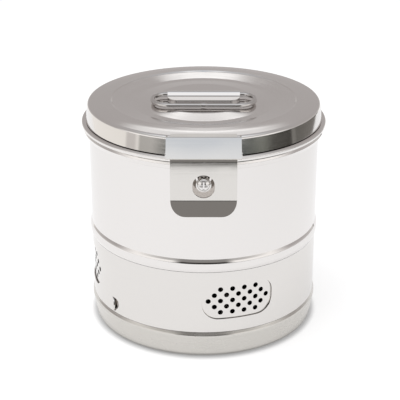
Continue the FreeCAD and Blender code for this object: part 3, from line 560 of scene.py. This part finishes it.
def joined_copy(node, metal):
    """Return a copy of a CAD node's mesh with its loose triangles joined, in one metal."""
    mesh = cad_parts[node].data.copy()
    shape = bmesh.new()
    shape.from_mesh(mesh)
    bmesh.ops.remove_doubles(shape, verts=shape.verts, dist=same_corner * MM)
    shape.to_mesh(mesh)
    shape.free()
    mesh.materials.clear()
    mesh.materials.append(metal)
    return mesh


band_mesh = joined_copy("shutter_band", strip_steel)
wall_normals(band_mesh, band_steps)
place_piece("shutter_band_polished", band_mesh, "band", "polished_steel", "shutter_band")

# Band rivets: three dome-headed rivets of plated steel close the band's lap, cut off flush inside.
# A rivet is turned as one body: dome, shank and, where it has one, a flat inner head.
rivet_head_width = 3.6
rivet_head_rise = 1.0
rivet_shank_width = 2.2
rivet_tail_width = 3.2
rivet_tail_rise = 0.4
dome_steps = 6
rivet_facets = 32
rivet_crease_deg = 35.0
same_ring = 0.01
seat_gap = 0.02
lap_azimuth = 197.3
lap_rivet_heights = (24.3, 39.3, 54.3)
lap_seat_radius = band_radius + band_sheet + seat_gap
lap_grip = 2.0 * band_sheet + seat_gap
# Nickel plate: the eye gets small, hard, bright glints on a pale grey, a little warmer than chrome's.
plated_steel = steel("nickel plated steel, bright", "#E4E2E0", roughness=0.04, haze=0.05,
                     wave_depth=0.0, line_width=0.3)


def rivet_object(name, grip, with_tail):
    """Return a rivet standing on its head's underside at the origin, facing up, for a grip length."""
    half = rivet_head_width / 2.0
    rise = rivet_head_rise
    ball = (half * half + rise * rise) / (2.0 * rise)
    reach = math.asin(half / ball)
    outline = [(ball * math.sin(reach * step / dome_steps),
                rise - ball + ball * math.cos(reach * step / dome_steps)) for step in range(dome_steps + 1)]
    outline += [(rivet_shank_width / 2.0, 0.0), (rivet_shank_width / 2.0, -grip)]
    if with_tail:
        outline += [(rivet_tail_width / 2.0, -grip), (rivet_tail_width / 2.0, -grip - rivet_tail_rise),
                    (0.0, -grip - rivet_tail_rise)]
    else:
        outline.append((0.0, -grip))
    shape = bmesh.new()
    corners = [shape.verts.new((radius * MM, 0.0, height * MM)) for radius, height in outline]
    edges = [shape.edges.new(pair) for pair in zip(corners, corners[1:])]
    bmesh.ops.spin(shape, geom=corners + edges, cent=(0, 0, 0), axis=(0, 0, 1), angle=2.0 * math.pi,
                   steps=rivet_facets)
    bmesh.ops.remove_doubles(shape, verts=shape.verts, dist=same_ring * MM)
    bmesh.ops.recalc_face_normals(shape, faces=shape.faces)
    mesh = bpy.data.meshes.new(name)
    shape.to_mesh(mesh)
    shape.free()
    mesh.shade_smooth()
    mesh.set_sharp_from_angle(angle=math.radians(rivet_crease_deg))
    rivet = bpy.data.objects.new(name, mesh)
    bpy.context.scene.collection.objects.link(rivet)
    return rivet


def rivet_tree():
    """Return the tree that sets one kind of rivet on marks."""
    tree, given = node_group("set rivets", {"Marks": "Object", "Rivet": "Object", "Metal": "Material"})
    shown = add(tree, "GeometryNodeObjectInfo", {"Object": given.outputs["Rivet"]})
    rivets = set_on_marks(tree, given.outputs["Marks"], shown.outputs["Geometry"])
    coated = add(tree, "GeometryNodeSetMaterial", {"Geometry": rivets, "Material": given.outputs["Metal"]})
    add(tree, "NodeGroupOutput", {0: coated.outputs[0]})
    return tree


rivets_by_nodes = rivet_tree()


def set_rivets(name, spots, grip, with_tail):
    """Return one mesh of the rivets set at spots."""
    marks = facing_marks(name + " marks", spots)
    rivet = rivet_object(name + " rivet", grip, with_tail)
    mesh = made_by_nodes(name, rivets_by_nodes, bpy.data.meshes.new(name), marks=marks, rivet=rivet,
                         metal=plated_steel)
    bpy.data.objects.remove(marks)
    bpy.data.objects.remove(rivet)
    return mesh


lap_spots = [(round_the_drum(lap_seat_radius, lap_azimuth, height), round_the_drum(1.0, lap_azimuth, 0.0))
             for height in lap_rivet_heights]
place_piece("band_rivets_set", set_rivets("band rivets", lap_spots, lap_grip, False), "band",
            "plated_hardware", "band_rivets")

# Upper shell: the drum's main wall, spun in one with its neck, the stepped shoulder that the lid's
# skirt comes down to, and the half-round bead over the band. Mirror polished outside.
wall_radius = 75.0
shell_sheet = 0.5
shell_profile = [(72.9, 147.2), (74.3, 147.2, 0.7), (74.3, 137.5), (79.5, 137.5, 1.3), (79.5, 135.1, 1.3),
                 (77.9, 133.8), (78.5, 132.3, 0.75), (77.0, 129.3, 0.75), (wall_radius, 128.8),
                 (wall_radius, 69.3), (76.1, 67.125, 5.0), (76.1, 62.775, 5.0), (75.15, 60.6)]
# Mirror polish on spun sheet: the eye gets the room's sharp image, a little bent by the sheet's waves.
mirror_steel = steel("stainless sheet, mirror polished", "#E8E5E3", roughness=0.03, haze=0.045,
                     wave_depth=0.04, line_width=0.4)
shell_mesh = spun_mesh("upper shell", sheet_steps(shell_profile, shell_sheet), mirror_steel)
place_piece("upper_shell_spun", shell_mesh, "drum", "polished_steel", "upper_shell")

# Lid pan: pressed from one disc of stainless sheet and buffed. A shallow groove stiffens the flat
# middle, a small step leads to the crowned edge, and the skirt flares over the neck.
lid_sheet = 0.6
panel_height = 149.6
skirt_top = (75.4, 149.15)
skirt_end = (76.8, 137.9)
lid_profile = [(0.0, panel_height), (31.0, panel_height, 20.0), (43.0, 148.4, 20.0), (47.0, 148.4, 20.0),
               (59.3, panel_height), (60.3, 150.4, 0.8), (67.0, 149.98, 120.0), (*skirt_top, 2.2), skirt_end]
# Buffed after pressing: the eye gets the same image, softer, so bright lines have soft edges.
buffed_steel = steel("stainless sheet, buffed", "#E8E5E3", roughness=0.065, haze=0.05,
                     wave_depth=0.03, line_width=0.4)
place_piece("lid_pan_spun", spun_mesh("lid pan", sheet_steps(lid_profile, lid_sheet), buffed_steel),
            "lid", "polished_steel", "lid_pan")

# Handle: one length of drawn stainless wire bent to a closed loop and butt welded in the middle of
# its front run, where the weld stands a little proud. It lies forward over the lid and droops until
# the weld's lump all but rests there.
wire_width = 3.0
wire_facets = 32
wire_step_deg = 4.0
pivot_y = 0.4
pivot_height = 151.98
front_run_y = -21.4
side_run_x = 32.8
back_corner = 8.0
front_corner = 12.0
weld_half_length = 2.4
weld_proud = 0.3
weld_root = 0.05
weld_even = 0.86
weld_uneven = 0.14
weld_twist = 5.0
weld_rings = 14
weld_spokes = 32
rest_gap = 0.06
weld_drop = pivot_height - panel_height - wire_width / 2.0 - weld_proud - rest_gap
droop = math.asin(weld_drop / (pivot_y - front_run_y))
# Drawn through a die: the eye gets one long bright line on a grey wire, a little dulled by handling.
wire_steel = steel("stainless wire, bright drawn", "#D2CFCD", roughness=0.06, haze=0.08,
                   wave_depth=0.0, line_width=0.3)


def on_handle(x, y, rise=0.0):
    """Return a place on the drooping handle, from where it is while level and its rise over the middle."""
    reach = y - pivot_y
    return Vector((x, pivot_y + reach * math.cos(droop) - rise * math.sin(droop),
                   pivot_height + reach * math.sin(droop) + rise * math.cos(droop))) * MM


def turn_outward(mesh):
    """Turn all faces of a closed mesh outward."""
    shape = bmesh.new()
    shape.from_mesh(mesh)
    bmesh.ops.recalc_face_normals(shape, faces=shape.faces)
    shape.to_mesh(mesh)
    shape.free()


def wire_tree():
    """Return the tree that draws a round wire along a path of edges."""
    tree, given = node_group("draw wire", {"Wire width": "Float", "Metal": "Material"})
    half = add(tree, "ShaderNodeMath", {0: given.outputs["Wire width"], 1: 0.5}, operation="MULTIPLY")
    path = add(tree, "GeometryNodeMeshToCurve", {"Mesh": given.outputs["Geometry"]})
    section = add(tree, "GeometryNodeCurvePrimitiveCircle", {"Resolution": wire_facets,
                                                             "Radius": half.outputs[0]})
    wire = add(tree, "GeometryNodeCurveToMesh", {"Curve": path.outputs[0],
                                                 "Profile Curve": section.outputs[0]})
    smooth = add(tree, "GeometryNodeSetShadeSmooth", {"Geometry": wire.outputs[0]})
    solid = add(tree, "GeometryNodeRealizeInstances", {"Geometry": smooth.outputs[0]})
    coated = add(tree, "GeometryNodeSetMaterial", {"Geometry": solid.outputs[0],
                                                   "Material": given.outputs["Metal"]})
    add(tree, "NodeGroupOutput", {0: coated.outputs[0]})
    return tree


loop_outline = [(0.0, pivot_y), (side_run_x, pivot_y, back_corner), (side_run_x, front_run_y, front_corner),
                (-side_run_x, front_run_y, front_corner), (-side_run_x, pivot_y, back_corner),
                (0.0, pivot_y)]
loop_places = [on_handle(*step[0]) for step in path_steps(loop_outline, wire_step_deg)]
loop_edges = [(place, (place + 1) % len(loop_places)) for place in range(len(loop_places))]
loop_mesh = bpy.data.meshes.new("handle path")
loop_mesh.from_pydata(loop_places, loop_edges, [])
wire_mesh = made_by_nodes("handle wire", wire_tree(), loop_mesh, wire_width=wire_width * MM,
                          metal=wire_steel)
turn_outward(wire_mesh)
place_piece("handle_bail_wire", wire_mesh, "handle", "polished_steel", "handle_bail")
# Butt weld: a low lump round the wire, highest in its middle and slightly rippled.
weld_places = []
for ring in range(weld_rings + 1):
    along = 2.0 * ring / weld_rings - 1.0
    for spoke in range(weld_spokes):
        angle = 2.0 * math.pi * spoke / weld_spokes
        ripple = weld_even + weld_uneven * math.sin(2.0 * angle + weld_twist * along)
        radius = wire_width / 2.0 - weld_root + weld_proud * (1.0 - along * along) * ripple
        weld_places.append(on_handle(along * weld_half_length, front_run_y + radius * math.cos(angle),
                                     radius * math.sin(angle)))
weld_faces = [tuple(range(weld_spokes))[::-1],
              tuple(weld_rings * weld_spokes + spoke for spoke in range(weld_spokes))]
for ring in range(weld_rings):
    for spoke in range(weld_spokes):
        after = (spoke + 1) % weld_spokes
        weld_faces.append((ring * weld_spokes + spoke, ring * weld_spokes + after,
                           (ring + 1) * weld_spokes + after, (ring + 1) * weld_spokes + spoke))
weld_mesh = bpy.data.meshes.new("handle weld")
weld_mesh.from_pydata(weld_places, [], weld_faces)
turn_outward(weld_mesh)
weld_mesh.shade_smooth()
weld_mesh.materials.append(wire_steel)
place_piece("handle_bail_weld", weld_mesh, "handle", "polished_steel")

# Handle clip: a strip of polished sheet folded over the handle's back run and spot welded to the lid
# under its lower leaf. Its cut edges are broken with a file, as on all the folded pieces.
edge_break = 0.14
break_from_deg = 40.0
flat_within_deg = 0.3


def folded_piece(node, body, slot, metal, suffix="_folded"):
    """Place a folded or turned piece: its CAD form with flats made one face and its cut edges broken."""
    mesh = joined_copy(node, metal)
    shape = bmesh.new()
    shape.from_mesh(mesh)
    bmesh.ops.dissolve_limit(shape, angle_limit=math.radians(flat_within_deg), use_dissolve_boundaries=False,
                             verts=shape.verts, edges=shape.edges, delimit={"NORMAL"})
    shape.to_mesh(mesh)
    shape.free()
    mesh.shade_smooth()
    piece = place_piece(node + suffix, mesh, body, slot, node)
    broken = piece.modifiers.new("broken edges", "BEVEL")
    broken.limit_method = "ANGLE"
    broken.angle_limit = math.radians(break_from_deg)
    broken.width = edge_break * MM
    broken.segments = 2
    even = piece.modifiers.new("even normals", "WEIGHTED_NORMAL")
    even.keep_sharp = True


folded_piece("handle_clip", "lid", "polished_steel", mirror_steel)

# Latch bracket and pin: a strip of polished sheet welded on the lid's edge, bent down as a roof over
# the hasp, with two ears that carry a plated pin, peened over at both ends.
# Stamped and polished plate: the eye gets a bright image that waves and mottles where the bends pulled it.
plate_steel = steel("stainless plate, polished", "#DCD9D5", roughness=0.04, haze=0.05,
                    wave_depth=0.14, line_width=0.4)
folded_piece("latch_bracket", "lid", "polished_steel", plate_steel)
folded_piece("latch_pin", "lid", "plated_hardware", plated_steel, "_turned")

# Latch hasp: a polished plate rolled round its pin, with an oval hole that closes over the stud and a
# lip flared out for the fingers.
folded_piece("latch_hasp", "hasp", "polished_steel", plate_steel)

# Latch stud: a bright plated cross-head screw that stands out from the wall on a spacer, and is held
# by a washer and a hexagon nut inside.
for node in ("latch_stud", "stud_spacer", "stud_washer", "stud_nut"):
    folded_piece(node, "drum", "plated_hardware", plated_steel, "_turned")

# Rear hinge: two leaves of satin sheet rolled round a plated pin, one riveted to the drum's wall and
# one to the lid's skirt, with dome-headed rivets whose inner ends are set flat.
folded_piece("hinge_body_leaf", "drum", "satin_steel", satin_steel)
folded_piece("hinge_lid_leaf", "lid", "satin_steel", satin_steel)
folded_piece("hinge_pin", "drum", "plated_hardware", plated_steel, "_turned")
leaf_thickness = 1.05
rivet_side = 7.0
body_rivet_heights = (113.0, 121.0)
lid_rivet_height = 145.5
rivet_turn_deg = math.degrees(math.asin(rivet_side / wall_radius))
skirt_lean = math.atan2(skirt_end[0] - skirt_top[0], skirt_top[1] - skirt_end[1])
skirt_radius = skirt_top[0] + (skirt_top[1] - lid_rivet_height) * math.tan(skirt_lean)
head_rise = leaf_thickness + 2.0 * seat_gap
body_spots = []
lid_spots = []
for side in (-1, 1):
    azimuth_deg = 180.0 + side * rivet_turn_deg
    for height in body_rivet_heights:
        body_spots.append((round_the_drum(wall_radius + head_rise, azimuth_deg, height),
                           round_the_drum(1.0, azimuth_deg, 0.0)))
    facing = round_the_drum(math.cos(skirt_lean), azimuth_deg, math.sin(skirt_lean))
    seat = round_the_drum(skirt_radius, azimuth_deg, lid_rivet_height) + facing * head_rise
    lid_spots.append((seat, facing))
body_rivets = set_rivets("body leaf rivets", body_spots, head_rise + shell_sheet, True)
place_piece("body_leaf_rivets_set", body_rivets, "drum", "plated_hardware", "body_leaf_rivets")
lid_rivets = set_rivets("lid leaf rivets", lid_spots, head_rise + lid_sheet, True)
place_piece("lid_leaf_rivets_set", lid_rivets, "lid", "plated_hardware", "lid_leaf_rivets")
